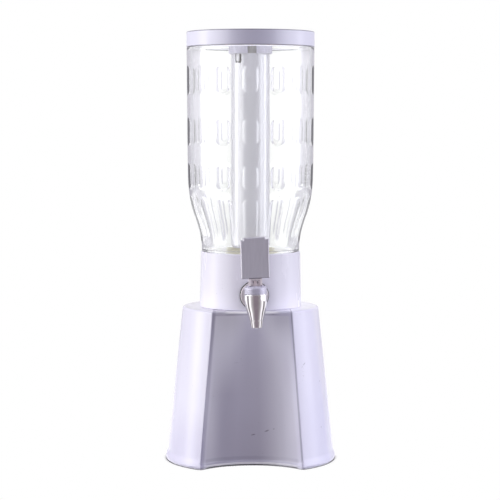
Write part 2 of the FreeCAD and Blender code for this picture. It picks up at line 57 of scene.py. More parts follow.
cam_data = bpy.data.cameras.new("camera")
cam = bpy.data.objects.new("camera", cam_data)
scene.collection.objects.link(cam)
cam_data.sensor_width = 36.0
cam_data.lens = FOCAL_PX / 500.0 * 36.0
cam_data.clip_start, cam_data.clip_end = 0.05, 60.0
cam.location = (-DISTANCE * math.sin(VIEW_TURN), -DISTANCE * math.cos(VIEW_TURN), CAM_HEIGHT)
cam.rotation_euler = (math.pi / 2 - PITCH, 0.0, -VIEW_TURN + 0.5 / FOCAL_PX)
scene.camera = cam


# ------------------------------------------------------------------ node helpers
class Tree:
    """Short calls for building a node tree."""

    def __init__(self, tree):
        self.t = tree
        tree.nodes.clear()

    @classmethod
    def over(cls, material):
        """The nodes that a material has already, kept as they are."""
        out = cls.__new__(cls)
        out.t = material.node_tree
        return out

    def first(self, kind):
        return next(n for n in self.t.nodes if n.type == kind)

    def node(self, kind, **values):
        n = self.t.nodes.new(kind)
        for k, v in values.items():
            setattr(n, k, v)
        return n

    def put(self, socket, value):
        if hasattr(value, "is_linked") or hasattr(value, "links"):
            self.t.links.new(value, socket)
        else:
            socket.default_value = value

    def math(self, op, a, b=None, c=None, clamp=False):
        n = self.node("ShaderNodeMath", operation=op, use_clamp=clamp)
        self.put(n.inputs[0], a)
        if b is not None:
            self.put(n.inputs[1], b)
        if c is not None:
            self.put(n.inputs[2], c)
        return n.outputs[0]

    def vmath(self, op, a, b=None, scale=None):
        n = self.node("ShaderNodeVectorMath", operation=op)
        self.put(n.inputs[0], a)
        if b is not None:
            self.put(n.inputs[1], b)
        if scale is not None:
            self.put(n.inputs["Scale"], scale)
        return n.outputs["Value"] if op in ("LENGTH", "DOT_PRODUCT", "DISTANCE") else n.outputs[0]

    def ramp(self, fac, stops, interpolation="LINEAR"):
        n = self.node("ShaderNodeValToRGB")
        n.color_ramp.interpolation = interpolation
        e = n.color_ramp.elements
        while len(e) > 1:
            e.remove(e[-1])
        for i, (p, c) in enumerate(stops):
            if not hasattr(c, "__len__"):
                c = (c, c, c)
            el = e[0] if i == 0 else e.new(p)
            el.position = p
            el.color = (*c, 1.0)
        self.put(n.inputs[0], fac)
        return n.outputs[0]

    def mix(self, fac, a, b, blend="MIX"):
        n = self.node("ShaderNodeMix", data_type="RGBA", blend_type=blend)
        self.put(n.inputs[0], fac)
        for s, v in ((n.inputs[6], a), (n.inputs[7], b)):
            if hasattr(v, "links"):
                self.t.links.new(v, s)
            else:
                s.default_value = (*v, 1.0) if len(v) == 3 else v
        return n.outputs[2]

    def range(self, v, a0, a1, b0, b1, smooth=False):
        n = self.node("ShaderNodeMapRange", interpolation_type="SMOOTHSTEP" if smooth else "LINEAR")
        for s, x in zip(n.inputs[:5], (v, a0, a1, b0, b1)):
            self.put(s, x)
        return n.outputs[0]

    def noise(self, vector, scale, detail=2.0, rough=0.5, stretch=None, distortion=0.0):
        if stretch is not None:
            m = self.node("ShaderNodeMapping")
            self.put(m.inputs[0], vector)
            m.inputs["Scale"].default_value = stretch
            vector = m.outputs[0]
        n = self.node("ShaderNodeTexNoise")
        self.put(n.inputs["Vector"], vector)
        n.inputs["Scale"].default_value = scale
        n.inputs["Detail"].default_value = detail
        n.inputs["Roughness"].default_value = rough
        n.inputs["Distortion"].default_value = distortion
        return n.outputs[0]


def new_material(name):
    m = bpy.data.materials.new(name)
    m.use_nodes = True
    t = Tree(m.node_tree)
    out = t.node("ShaderNodeOutputMaterial")
    bsdf = t.node("ShaderNodeBsdfPrincipled")
    t.t.links.new(bsdf.outputs[0], out.inputs[0])
    coord = t.node("ShaderNodeTexCoord").outputs["Object"]
    return m, t, bsdf, coord


def bump(t, bsdf, height, strength, distance, socket="Normal"):
    b = t.node("ShaderNodeBump")
    b.inputs["Strength"].default_value = strength
    b.inputs["Distance"].default_value = distance
    t.put(b.inputs["Height"], height)
    t.t.links.new(b.outputs[0], bsdf.inputs[socket])


def set_material(ob, m):
    ob.data.materials.clear()
    ob.data.materials.append(m)


# ------------------------------------------------------------------ studio
world = bpy.data.worlds.new("studio")
scene.world = world
world.use_nodes = True
w = Tree(world.node_tree)
direction = w.node("ShaderNodeTexCoord").outputs["Generated"]
side = w.vmath("DOT_PRODUCT", direction, (math.cos(VIEW_TURN), -math.sin(VIEW_TURN), 0.0))
depth = w.vmath("DOT_PRODUCT", direction, (math.sin(VIEW_TURN), math.cos(VIEW_TURN), 0.0))
up = w.vmath("DOT_PRODUCT", direction, (0.0, 0.0, 1.0))
# 0.5 straight behind the object, 0.25 at its left, 0.75 at its right, 0 and 1 in front of it
turn_angle = w.math("ARCTAN2", side, depth)
around = w.math("MULTIPLY_ADD", turn_angle, 1.0 / (2.0 * math.pi), 0.5)


def at(deg):
    return deg / 360.0 + 0.5


STRENGTH = 6.0
ring_stops = [
    (at(-180.0), (0.165, 0.147, 0.225)),
    (at(-152.0), (0.165, 0.147, 0.225)),
    (at(-143.0), (0.42, 0.39, 0.47)),
    (at(-130.0), (3.0, 2.98, 3.08)),
    (at(-118.0), (3.8, 3.78, 3.86)),
    (at(-108.0), (3.4, 3.38, 3.46)),
    (at(-98.0), (4.2, 4.18, 4.26)),
    (at(-92.0), (6.2, 6.18, 6.24)),
    (at(-84.0), (5.9, 5.88, 5.94)),
    (at(-72.0), (1.60, 1.58, 1.64)),
    (at(-52.0), (0.80, 0.785, 0.84)),
    (at(-36.0), (0.66, 0.645, 0.715)),
    (at(-14.0), (0.66, 0.645, 0.715)),
    (at(-5.4), (0.72, 0.705, 0.775)),
    (at(-4.4), (1.04, 1.04, 1.04)),
    (at(4.4), (1.04, 1.04, 1.04)),
    (at(5.4), (0.72, 0.705, 0.775)),
    (at(14.0), (0.66, 0.645, 0.715)),
    (at(36.0), (0.66, 0.645, 0.715)),
    (at(52.0), (0.80, 0.785, 0.85)),
    (at(68.0), (1.40, 1.39, 1.52)),
    (at(77.5), (4.0, 4.0, 4.3)),
    (at(85.0), (4.6, 4.6, 5.0)),
    (at(94.0), (3.2, 3.2, 3.5)),
    (at(102.0), (3.0, 3.0, 3.3)),
    (at(110.0), (4.2, 4.2, 4.6)),
    (at(121.0), (2.7, 2.7, 2.95)),
    (at(136.0), (0.20, 0.178, 0.25)),
    (at(152.0), (0.165, 0.147, 0.225)),
    (at(180.0), (0.165, 0.147, 0.225)),
]
# a little below the horizon the lights end, with a dark gap between them and the table's glow
low_stops = [
    (at(-180.0), (0.355, 0.30, 0.35)),
    (at(-163.0), (0.36, 0.305, 0.355)),
    (at(-151.0), (0.50, 0.46, 0.49)),
    (at(-140.0), (0.66, 0.63, 0.66)),
    (at(-129.0), (1.0, 0.98, 1.0)),
    (at(-119.0), (1.9, 1.88, 1.92)),
    (at(-106.0), (1.9, 1.88, 1.92)),
    (at(-100.0), (0.26, 0.24, 0.27)),
    (at(-84.0), (0.26, 0.24, 0.27)),
    (at(-79.0), (1.6, 1.58, 1.62)),
    (at(-61.0), (2.0, 1.98, 2.02)),
    (at(-36.0), (1.7, 1.7, 1.75)),
    (at(0.0), (1.5, 1.5, 1.55)),
    (at(30.0), (1.3, 1.3, 1.36)),
    (at(57.0), (1.5, 1.5, 1.57)),
    (at(73.0), (1.4, 1.4, 1.46)),
    (at(78.0), (0.26, 0.24, 0.27)),
    (at(94.0), (0.26, 0.24, 0.27)),
    (at(100.0), (1.7, 1.68, 1.74)),
    (at(114.0), (1.7, 1.68, 1.74)),
    (at(126.5), (0.80, 0.78, 0.82)),
    (at(138.0), (0.52, 0.49, 0.52)),
    (at(149.0), (0.43, 0.39, 0.42)),
    (at(163.0), (0.355, 0.30, 0.35)),
    (at(180.0), (0.355, 0.30, 0.35)),
]
ring = w.ramp(around, [(q, tuple(v / STRENGTH for v in c)) for q, c in ring_stops])
low_ring = w.ramp(around, [(q, tuple(v / STRENGTH for v in c)) for q, c in low_stops])
ring = w.mix(w.range(up, -0.112, -0.126, 0.0, 1.0), ring, low_ring)
# overhead light, and a dim band low in front
height_fac = w.range(up, 0.30, 0.85, 0.0, 1.0, smooth=True)
env = w.mix(height_fac, ring, tuple(v / STRENGTH for v in (0.66, 0.65, 0.70)))
# the lower half gives less light, but bright metal still mirrors it
rays = w.node("ShaderNodeLightPath")
shiny = rays.outputs["Is Glossy Ray"]
low = w.range(up, -0.38, 0.0, 0.04, 1.0)
low = w.math("MAXIMUM", low, w.math("MULTIPLY", shiny, 0.80))
dimmer = w.node("ShaderNodeCombineColor")
for s in dimmer.inputs[:3]:
    w.put(s, low)
env = w.mix(1.0, env, dimmer.outputs[0], "MULTIPLY")
lifted = w.mix(1.0, env, tuple(v / STRENGTH for v in (0.24, 0.215, 0.24)), "LIGHTEN")
env = w.mix(shiny, env, lifted)
# nothing seen straight through the clear jar is darker than a pale grey
through = w.mix(1.0, env, tuple(v / STRENGTH for v in (0.44, 0.42, 0.48)), "LIGHTEN")
in_jar = w.math("MULTIPLY", w.math("GREATER_THAN", rays.outputs["Transmission Depth"], 0.5),
                w.math("LESS_THAN", rays.outputs["Diffuse Depth"], 0.5))
env = w.mix(in_jar, env, through)
background = w.node("ShaderNodeBackground")
w.put(background.inputs["Color"], env)
background.inputs["Strength"].default_value = STRENGTH
paper = w.node("ShaderNodeBackground")
paper.inputs["Color"].default_value = (1.0, 1.0, 1.0, 1.0)
paper.inputs["Strength"].default_value = 1.0
seen = rays.outputs["Is Camera Ray"]
choose = w.node("ShaderNodeMixShader")
w.put(choose.inputs[0], seen)
w.t.links.new(background.outputs[0], choose.inputs[1])
w.t.links.new(paper.outputs[0], choose.inputs[2])
world_out = w.node("ShaderNodeOutputWorld")
w.t.links.new(choose.outputs[0], world_out.inputs[0])

# pale table: a plain disc with a soft rim of painted contact shadow where the stand meets it
segments = 96
verts = [(0.0, 0.0, 0.0)] + [(1.3 * math.cos(2 * math.pi * k / segments), 1.3 * math.sin(2 * math.pi * k / segments), 0.0)
                             for k in range(segments)]
faces = [(0, 1 + k, 1 + (k + 1) % segments) for k in range(segments)]
floor_mesh = bpy.data.meshes.new("table_top")
floor_mesh.from_pydata(verts, [], faces)
floor = bpy.data.objects.new("table_top", floor_mesh)
scene.collection.objects.link(floor)
fm = bpy.data.materials.new("table_paper")
fm.use_nodes = True
f = Tree(fm.node_tree)
f_out = f.node("ShaderNodeOutputMaterial")
# painted contact shadow: the table's glow seen by the camera darkens with ambient occlusion close to the stand
ao = f.node("ShaderNodeAmbientOcclusion", samples=8)
ao.inputs["Distance"].default_value = 0.008
shade = f.ramp(ao.outputs["AO"], [(0.0, (0.03, 0.028, 0.035)), (0.46, (0.08, 0.078, 0.09)), (0.54, (0.55, 0.54, 0.58)), (0.62, (0.91, 0.90, 0.93)), (0.76, (1.0, 1.0, 1.0))])
lit = f.node("ShaderNodeEmission")
f.put(lit.inputs["Color"], shade)
lit.inputs["Strength"].default_value = 1.0
dim = f.node("ShaderNodeBsdfTransparent")
# what shows of the table through the clear jar is as pale as the table itself
pale = f.node("ShaderNodeEmission")
pale.inputs["Color"].default_value = (0.93, 0.93, 0.95, 1.0)
pale.inputs["Strength"].default_value = 1.0
path = f.node("ShaderNodeLightPath")
f_through = f.node("ShaderNodeMixShader")
f.put(f_through.inputs[0], path.outputs["Is Transmission Ray"])
f.t.links.new(dim.outputs[0], f_through.inputs[1])
f.t.links.new(pale.outputs[0], f_through.inputs[2])
f_mix = f.node("ShaderNodeMixShader")
f.put(f_mix.inputs[0], path.outputs["Is Camera Ray"])
f.t.links.new(f_through.outputs[0], f_mix.inputs[1])
f.t.links.new(lit.outputs[0], f_mix.inputs[2])
f.t.links.new(f_mix.outputs[0], f_out.inputs[0])
floor_mesh.materials.append(fm)


# ------------------------------------------------------------------ mesh helpers
def add_mesh(name, verts, faces, body, smooth=True):
    me = bpy.data.meshes.new(name)
    me.from_pydata([tuple(float(c) for c in v) for v in verts], [], faces)
    me.update()
    if smooth:
        me.polygons.foreach_set("use_smooth", [True] * len(me.polygons))
    ob = bpy.data.objects.new(name, me)
    scene.collection.objects.link(ob)
    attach(ob, body)
    return ob


def loft(rings, close_ends=False):
    """Quads between rings of equal length. With close_ends the last ring joins the first."""
    n = len(rings[0])
    verts = [p for r in rings for p in r]
    faces = []
    count = len(rings)
    for k in range(count if close_ends else count - 1):
        a, b = k * n, ((k + 1) % count) * n
        for i in range(n):
            j = (i + 1) % n
            faces.append((a + i, a + j, b + j, b + i))
    return verts, faces


def pchip(points, xs):
    """Monotone cubic through (x, y) points."""
    x = np.array([p[0] for p in points], float)
    y = np.array([p[1] for p in points], float)
    h = np.diff(x)
    d = np.diff(y) / h
    m = np.zeros(len(x))
    m[0], m[-1] = d[0], d[-1]
    for i in range(1, len(x) - 1):
        if d[i - 1] * d[i] <= 0:
            m[i] = 0.0
        else:
            w1, w2 = 2 * h[i] + h[i - 1], h[i] + 2 * h[i - 1]
            m[i] = (w1 + w2) / (w1 / d[i - 1] + w2 / d[i])
    xs = np.clip(np.asarray(xs, float), x[0], x[-1])
    k = np.clip(np.searchsorted(x, xs, side="right") - 1, 0, len(h) - 1)
    t = (xs - x[k]) / h[k]
    return ((1 + 2 * t) * (1 - t) ** 2 * y[k] + t * (1 - t) ** 2 * h[k] * m[k]
            + t * t * (3 - 2 * t) * y[k + 1] + t * t * (t - 1) * h[k] * m[k + 1])


def smoothstep(a, b, x):
    t = np.clip((x - a) / (b - a), 0.0, 1.0)
    return t * t * (3 - 2 * t)


# ------------------------------------------------------------------ stand
SCALLOP_LOW = (55.96, 76.9, 48.7)
SCALLOP_TOP = (43.6, 62.2, 60.0)
SCALLOP_TOP_Z = 169.2
DECK_Z = 172.0
EDGE_R = 2.8
CREASE_R = 1.2
LEFT_DRIFT = -1.25                 # degrees


def cone_r(z):
    return 94.39 + (75.95 - 94.39) * z / DECK_Z


def stand_ring(z, radius, out_scallop=0.0, fillet=CREASE_R, at_z=None):
    """Closed outline of the stand: round wall, rounded creases and the scallop's arc.
    out_scallop moves the arc out of the body (positive) or into it (negative)."""
    t = (z if at_z is None else at_z) / SCALLOP_TOP_Z
    half, corner, centre = [a + (b - a) * t for a, b in zip(SCALLOP_LOW, SCALLOP_TOP)]
    sag = corner - centre
    rho = (half * half + sag * sag) / (2 * sag)
    c = centre + rho
    rho -= out_scallop
    rf = fillet
    yf = -(c * c + (radius - rf) ** 2 - (rho + rf) ** 2) / (2 * c)
    xf = math.sqrt(max((radius - rf) ** 2 - yf * yf, 0.0))
    t1 = (xf * radius / (radius - rf), yf * radius / (radius - rf))
    k = rho / (rho + rf)
    t2 = (xf * k, -c + (yf + c) * k)
    pts = []
    # scallop arc, left to right, about (0, -c)
    a_end = math.atan2(t2[1] + c, t2[0])
    a_start = math.pi - a_end
    n = 96
    for i in range(n):
        a = a_start + (a_end - a_start) * i / n
        pts.append((rho * math.cos(a), -c + rho * math.sin(a)))
    # right crease, from t2 to t1 about (xf, yf)
    b0 = math.atan2(t2[1] - yf, t2[0] - xf)
    b1 = math.atan2(t1[1] - yf, t1[0] - xf)
    if b1 < b0:
        b1 += 2 * math.pi
    if b1 - b0 > math.pi:
        b1 -= 2 * math.pi
    nf = 10
    for i in range(nf):
        a = b0 + (b1 - b0) * i / nf
        pts.append((xf + rf * math.cos(a), yf + rf * math.sin(a)))
    # round wall
    c0 = math.atan2(t1[1], t1[0])
    c1 = math.pi - c0
    nb = 250
    for i in range(nb):
        a = c0 + (c1 - c0) * i / nb
        pts.append((radius * math.cos(a), radius * math.sin(a)))
    # left crease, mirrored
    for i in range(nf):
        a = b1 + (b0 - b1) * i / nf
        pts.append((-(xf + rf * math.cos(a)), yf + rf * math.sin(a)))
    # low down, the left crease lies a little farther round than the right one
    turned = []
    for x, y in pts:
        az = math.degrees(math.atan2(y, x))
        near = float(np.interp(az, [-170.0, -140.0, -126.0, -120.0, -92.0], [0.0, 0.8, 1.0, 1.0, 0.0]))
        a = math.radians(LEFT_DRIFT * near * float(np.interp(z, [0.0, 30.0, 80.0, 150.0], [1.0, 1.0, 0.8, 0.0])))
        turned.append((x * math.cos(a) - y * math.sin(a), x * math.sin(a) + y * math.cos(a)))
    return [Vector((x * MM, y * MM, z * MM)) for x, y in turned]


def stand_mesh():
    rings = []
    # underside edge and the foot's lip
    lip = [(3.1, 95.399), (5.6, 94.94), (8.6, 93.87), (10.4, 93.3), (12.7, cone_r(12.7))]
    for z, cut in ((0.0, 1.9), (0.12, 1.45), (0.4, 1.0), (0.9, 0.55), (1.6, 0.22), (2.4, 0.05)):
        rings.append(stand_ring(z, 95.4 - cut, 2.0 - 0.6 * cut))
    rings.append(stand_ring(3.0, 95.399, 2.0))
    for z in (3.25, 3.6, 4.1, 4.7, 5.3, 5.9, 6.6, 7.6, 8.8, 10.2, 11.4):
        out = float(2.0 * (1 - smoothstep(3.1, 6.4, z)))
        rings.append(stand_ring(z, float(pchip(lip, [z])[0]), out))
    # wall
    top = DECK_Z - EDGE_R
    for z in np.linspace(12.7, top, 58):
        rings.append(stand_ring(float(z), cone_r(z)))
    # rounded edge of the deck
    for k in range(1, 10):
        a = math.pi / 2 * k / 9
        inset = EDGE_R * (1 - math.cos(a))
        z = top + EDGE_R * math.sin(a)
        rings.append(stand_ring(z, cone_r(top) - inset, -inset, at_z=top, fillet=CREASE_R))
    # deck to the hole under the collar
    edge = rings[-1]
    for s in (0.10, 0.28, 0.5, 0.75, 1.0):
        ring_pts = []
        for p in edge:
            q = Vector((p.x, p.y, 0.0)).normalized() * 24.3 * MM
            ring_pts.append(Vector((p.x + (q.x - p.x) * s, p.y + (q.y - p.y) * s, DECK_Z * MM)))
        rings.append(ring_pts)
    hole = rings[-1]
    rings.append([Vector((p.x, p.y, 167.0 * MM)) for p in hole])
    rings.append([Vector((p.x * 34 / 24.3, p.y * 34 / 24.3, 167.0 * MM)) for p in hole])
    rings.append([Vector((p.x * 34 / 24.3, p.y * 34 / 24.3, 169.0 * MM)) for p in hole])
    # inside of the shell
    for z, r, o in ((169.0, 69.8, -4.6), (168.2, 71.4, -3.7), (166.4, 72.4, -3.2), (162.0, 73.4, -3.0)):
        rings.append(stand_ring(z, r, o, fillet=0.8, at_z=z))
    for z in (140.0, 110.0, 80.0, 50.0, 24.0, 12.0):
        rings.append(stand_ring(z, cone_r(z) - 3.0, -3.0, fillet=0.8))
    rings.append(stand_ring(5.0, 91.4, -3.0, fillet=0.8))
    rings.append(stand_ring(0.4, 91.6, -3.0, fillet=0.8))
    rings.append(stand_ring(0.0, 92.0, -2.6, fillet=0.8))
    return loft(rings, close_ends=True)


verts, faces = stand_mesh()
stand = add_mesh("stand_shell", verts, faces, "stand")
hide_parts("base_shell")

rib_v, rib_f = [], []
for az in (60, 105, 150, 195, 240, 285):
    a = math.radians(az - 90)
    ca, sa = math.cos(a), math.sin(a)
    outline = [(cone_r(20) - 8.5, 20.0), (cone_r(20) - 2.4, 20.0), (cone_r(162) - 2.4, 162.0), (cone_r(162) - 4.6, 168.8),
               (62.0, 168.8)]
    start = len(rib_v)
    for s in (-1.0, 1.0):
        for r, z in outline:
            rib_v.append(Vector(((r * ca - s * sa) * MM, (r * sa + s * ca) * MM, z * MM)))
    m = len(outline)
    rib_f.append([start + i for i in range(m)])
    rib_f.append([start + m + i for i in reversed(range(m))])
    for i in range(m):
        j = (i + 1) % m
        rib_f.append([start + j, start + i, start + m + i, start + m + j])
ribs = add_mesh("stand_ribs", rib_v, rib_f, "stand", smooth=False)

# ------------------------------------------------------------------ jar
JAR_OUT = [(54.47, 233.6), (54.56, 240.2), (55.94, 250.2), (58.01, 259.2), (60.68, 268.2),
           (64.34, 279.1), (67.2, 290.7), (68.96, 302.0), (69.82, 316.0), (70.25, 341.8),
           (70.69, 401.2), (71.13, 460.0)]
JAR_IN = [(51.85, 236.9), (51.95, 241.1), (52.9, 250.2), (55.0, 259.2), (57.7, 268.2), (61.35, 279.1),
          (64.2, 290.7), (65.96, 302.0), (66.8, 316.0), (67.25, 341.8), (67.7, 401.2), (68.1, 457.0)]
COLUMNS = 14
FIRST_COLUMN = 0.0                 # degrees from the camera's side
DIMPLE_HALF = 8.9                  # half width in mm
DIMPLE_DEPTH = 0.50                # the flat floor of a dimple in the round wall
DIMPLE_STEP = 0.30                 # small step round its edge
ROWS = [(408.1, 439.7), (351.7, 382.4), (303.5, 331.9)]
FLUTE = (248.2, 296.1)


def dimple_depth(q, crisp):
    return DIMPLE_DEPTH * (1 - np.clip(q, 0, 1) ** 2) + DIMPLE_STEP * crisp * (1 - smoothstep(0.76, 1.0, q))


def dimple_field(theta, z, radius):
    """Depth of the moulded dimples and flutes; theta is the angle from the first column in radians."""
    period = 2 * math.pi / COLUMNS
    off = (theta + period / 2) % period - period / 2
    s = off * 70.4
    # the mould's halves part at the jar's two sides, so the edges that face them are drawn soft
    column = theta - off
    crisp = np.clip(0.5 - s / DIMPLE_HALF * np.sin(column) * np.sign(np.cos(column) + 1e-6) * 1.2, 0.0, 1.0)
    crisp = crisp * np.where(np.cos(column) > 0, 1.0, 0.5)
    depth_mm = np.zeros_like(s * z)
    for z0, z1 in ROWS:
        half_h = (z1 - z0) / 2
        straight = half_h - DIMPLE_HALF * 0.85
        dz = np.maximum(np.abs(z - (z0 + z1) / 2) - straight, 0.0) / 0.85
        q = np.sqrt(s * s + dz * dz) / DIMPLE_HALF
        depth_mm = np.maximum(depth_mm, dimple_depth(q, crisp))
    z0, z1 = FLUTE
    sf = off * radius
    half_w = DIMPLE_HALF * (0.84 + 0.16 * (z - z0) / (z1 - z0))
    half_w = np.clip(half_w, 7.0, 9.0)
    straight_top = z1 - DIMPLE_HALF
    dz = np.maximum(z - straight_top, 0.0)
    q = np.sqrt((sf / half_w) ** 2 + (dz / DIMPLE_HALF) ** 2)
    fade = smoothstep(z0 - 6.0, z0 + 8.0, z)
    depth_mm = np.maximum(depth_mm, fade * dimple_depth(q, crisp))
    return depth_mm


def column_angles():
    """Angles of the mesh columns in one period, closer together at the dimples' edges."""
    period = 2 * math.pi / COLUMNS
    edge = DIMPLE_HALF / 70.4
    marks = [(-period / 2, 1.7), (-edge - 0.008, 1.5), (-edge - 0.003, 0.5), (-edge + 0.015, 0.5), (-edge + 0.020, 1.5),
             (0.0, 1.7), (edge - 0.020, 1.5), (edge - 0.015, 0.5), (edge + 0.003, 0.5), (edge + 0.008, 1.5), (period / 2, 1.7)]
    xs = np.linspace(-period / 2, period / 2, 4001)
    size = np.interp(xs, [m[0] for m in marks], [m[1] for m in marks])
    cum = np.concatenate([[0], np.cumsum(1 / size[:-1])])
    n = 36
    want = np.linspace(0, cum[-1], n + 1)[:-1]
    return np.interp(want, cum, xs)


def row_heights():
    zs = np.linspace(233.6, 460.0, 4001)
    size = np.full_like(zs, 3.2)
    for z0, z1 in ROWS:
        for a, b in ((z0 - 1.0, z0 + 8.0), (z1 - 8.0, z1 + 1.0)):
            size[(zs > a) & (zs < b)] = 0.8
    size[(zs > FLUTE[1] - 9) & (zs < FLUTE[1] + 1)] = 0.8
    size[(zs > 233) & (zs < FLUTE[1] - 9)] = 1.8
    cum = np.concatenate([[0], np.cumsum(1 / size[:-1])])
    n = 118
    want = np.linspace(0, cum[-1], n)
    return np.interp(want, cum, zs)


def jar_mesh():
    one = column_angles()
    period = 2 * math.pi / COLUMNS
    theta = np.concatenate([one + k * period for k in range(COLUMNS)])
    # theta 0 faces the camera; the object's own -Y is a little to the right of it
    shift = math.radians(FIRST_COLUMN) - VIEW_TURN
    world_a = theta + shift - math.pi / 2
    ca, sa = np.cos(world_a), np.sin(world_a)
    rings = []

    def ring_at(r, z):
        r = np.broadcast_to(r, theta.shape)
        rings.append([Vector((x, y, z * MM)) for x, y in zip(r * ca * MM, r * sa * MM)])

    ring_at(49.4, 218.3)
    ring_at(49.7, 218.0)
    ring_at(52.15, 218.0)
    ring_at(52.45, 218.3)
    ring_at(52.45, 233.4)
    ring_at(52.6, 233.6)
    ring_at(54.0, 233.6)
    zs = row_heights()
    base_r = pchip([(z, r) for r, z in JAR_OUT], zs)
    for i, z in enumerate(zs):
        r = base_r[i]
        if i == 0:
            r = 54.3
        field = dimple_field(theta, np.full_like(theta, z), r)
        ring_at(r - field, float(z))
    ring_at(70.85, 460.35)
    ring_at(68.65, 460.4)
    ring_at(68.5, 460.6)
    ring_at(68.5, 472.5)
    ring_at(67.9, 473.1)
    ring_at(66.5, 473.1)
    ring_at(65.9, 472.5)
    for r, z in ((65.9, 461.9), (66.2, 461.2), (66.9, 460.4), (67.7, 459.9), (68.05, 459.2), (68.1, 458.6), (68.1, 457.8)):
        ring_at(r, z)
    z_in = np.concatenate([np.linspace(457.0, 320.0, 12), np.linspace(312.0, 251.0, 22), np.linspace(248.0, 236.9, 8)])
    for z, r in zip(z_in, pchip([(z, r) for r, z in JAR_IN], z_in)):
        ring_at(float(r), float(z))
    for r, z in ((51.8, 236.5), (51.45, 236.2), (51.0, 236.1), (49.9, 236.1), (49.5, 236.0), (49.4, 235.8), (49.4, 235.2), (49.4, 228.0)):
        ring_at(r, z)
    return loft(rings, close_ends=True)


verts, faces = jar_mesh()
jar = add_mesh("jar_wall", verts, faces, "stand")
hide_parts("jar")

# ------------------------------------------------------------------ materials
SCUFFS = []


def white_plastic(name, base, warm, rough=0.20, scuffs=(), coat=0.0, glow=0.0):
    m, t, b, co = new_material(name)
    # faint unevenness of the moulding's colour
    big = t.noise(co, 9.0, 3.0, 0.55)
    colour = t.mix(t.range(big, 0.35, 0.65, 0.0, 1.0), base, warm)
    # tiny dark specks
    speck = t.noise(co, 620.0, 1.0, 0.4)
    keep = t.noise(co, 38.0, 1.0, 0.5)
    speck_mask = t.math("MULTIPLY", t.range(speck, 0.735, 0.765, 0.0, 1.0), t.range(keep, 0.52, 0.6, 0.0, 1.0))
    colour = t.mix(t.math("MULTIPLY", speck_mask, 0.45), colour, (0.42, 0.40, 0.43))
    # rubbed marks at stated places: centre, axis of the mark, half length, half width, darkness
    for (cx, cy, cz), (ax, ay, az), half_l, half_w, dark in scuffs:
        rel = t.vmath("SUBTRACT", co, (cx * MM, cy * MM, cz * MM))
        axis = Vector((ax, ay, az)).normalized()
        along = t.vmath("DOT_PRODUCT", rel, tuple(axis))
        full = t.vmath("LENGTH", rel)
        across2 = t.math("SUBTRACT", t.math("MULTIPLY", full, full), t.math("MULTIPLY", along, along))
        q = t.math("ADD", t.math("POWER", t.math("DIVIDE", along, half_l * MM), 2.0),
                   t.math("DIVIDE", across2, (half_w * MM) ** 2))
        ragged = t.noise(co, 900.0, 2.0, 0.6)
        q = t.math("ADD", q, t.math("MULTIPLY", t.math("SUBTRACT", ragged, 0.5), 1.6))
        mask = t.math("MULTIPLY", t.range(q, 0.35, 1.1, 1.0, 0.0), dark)
        colour = t.mix(mask, colour, (0.30, 0.28, 0.35))
    t.put(b.inputs["Base Color"], colour)
    fine = t.noise(co, 55.0, 3.0, 0.6, stretch=(1.0, 1.0, 0.35))
    t.put(b.inputs["Roughness"], t.range(fine, 0.3, 0.7, rough - 0.03, rough + 0.05))
    b.inputs["IOR"].default_value = 1.5
    b.inputs["Coat Weight"].default_value = coat
    b.inputs["Coat Roughness"].default_value = 0.08
    bump(t, b, t.noise(co, 260.0, 2.0, 0.5), 0.06, 0.0002)
    if glow:
        # painted light: a faint glow brightens the thin moulding where too little light reaches it
        b.inputs["Emission Color"].default_value = (0.97, 0.96, 1.0, 1.0)
        b.inputs["Emission Strength"].default_value = glow
    return m


def masked(t, material_bsdf, mask, colour, blend="MULTIPLY"):
    """Blends a colour over what the base colour is so far, where the mask is 1."""
    socket = material_bsdf.inputs["Base Color"]
    before = socket.links[0].from_socket
    t.put(socket, t.mix(mask, before, colour, blend))


def xyz(t, co):
    n = t.node("ShaderNodeSeparateXYZ")
    t.put(n.inputs[0], co)
    x, y, z = n.outputs[:3]
    r = t.math("SQRT", t.math("ADD", t.math("MULTIPLY", x, x), t.math("MULTIPLY", y, y)))
    return x, y, z, r


WHITE = (0.815, 0.80, 0.89)
WARM = (0.80, 0.78, 0.865)
SCUFFS = [
    ((1.4, -50.95, 34.3), (1.09, -0.10, 0.25), 2.6, 0.8, 0.75),
    ((16.3, -53.0, 38.8), (1.09, -0.24, 0.45), 3.0, 0.9, 0.9),
    ((23.8, -55.3, 41.1), (1.08, -0.34, 0.5), 1.3, 0.8, 0.7),
    ((-40.7, -63.1, 30.4), (1.0, 0.77, 0.0), 0.9, 0.7, 0.8),
    ((-47.65, -68.5, 44.7), (1.0, 0.80, 0.0), 0.8, 0.6, 0.5),
    ((-17.4, -57.7, 115.0), (1.0, 0.17, 0.0), 3.5, 0.5, 0.25),
    ((56.85, -59.3, 113.6), (1.17, 1.21, 1.2), 2.8, 0.6, 0.5),
    ((54.6, -61.4, 111.2), (1.17, 1.21, 1.2), 1.3, 0.5, 0.35),
    ((75.4, -38.2, 91.6), (1.3, 2.8, 0.5), 0.9, 0.8, 0.5),
    ((76.8, -46.7, 41.7), (1.3, 2.2, 0.5), 1.0, 0.8, 0.5),
]
stand_mat = white_plastic("stand_plastic", WHITE, WARM, 0.22, scuffs=SCUFFS)
t = Tree.over(stand_mat)
b = t.first("BSDF_PRINCIPLED")
co = t.first("TEX_COORD").outputs["Object"]
x, y, z, r = xyz(t, co)
wall_r = t.math("MULTIPLY_ADD", z, (75.95 - 94.39) / DECK_Z, 94.39 * MM)
inward = t.math("DIVIDE", r, wall_r)
front = t.range(y, -0.03, -0.04, 0.0, 1.0)
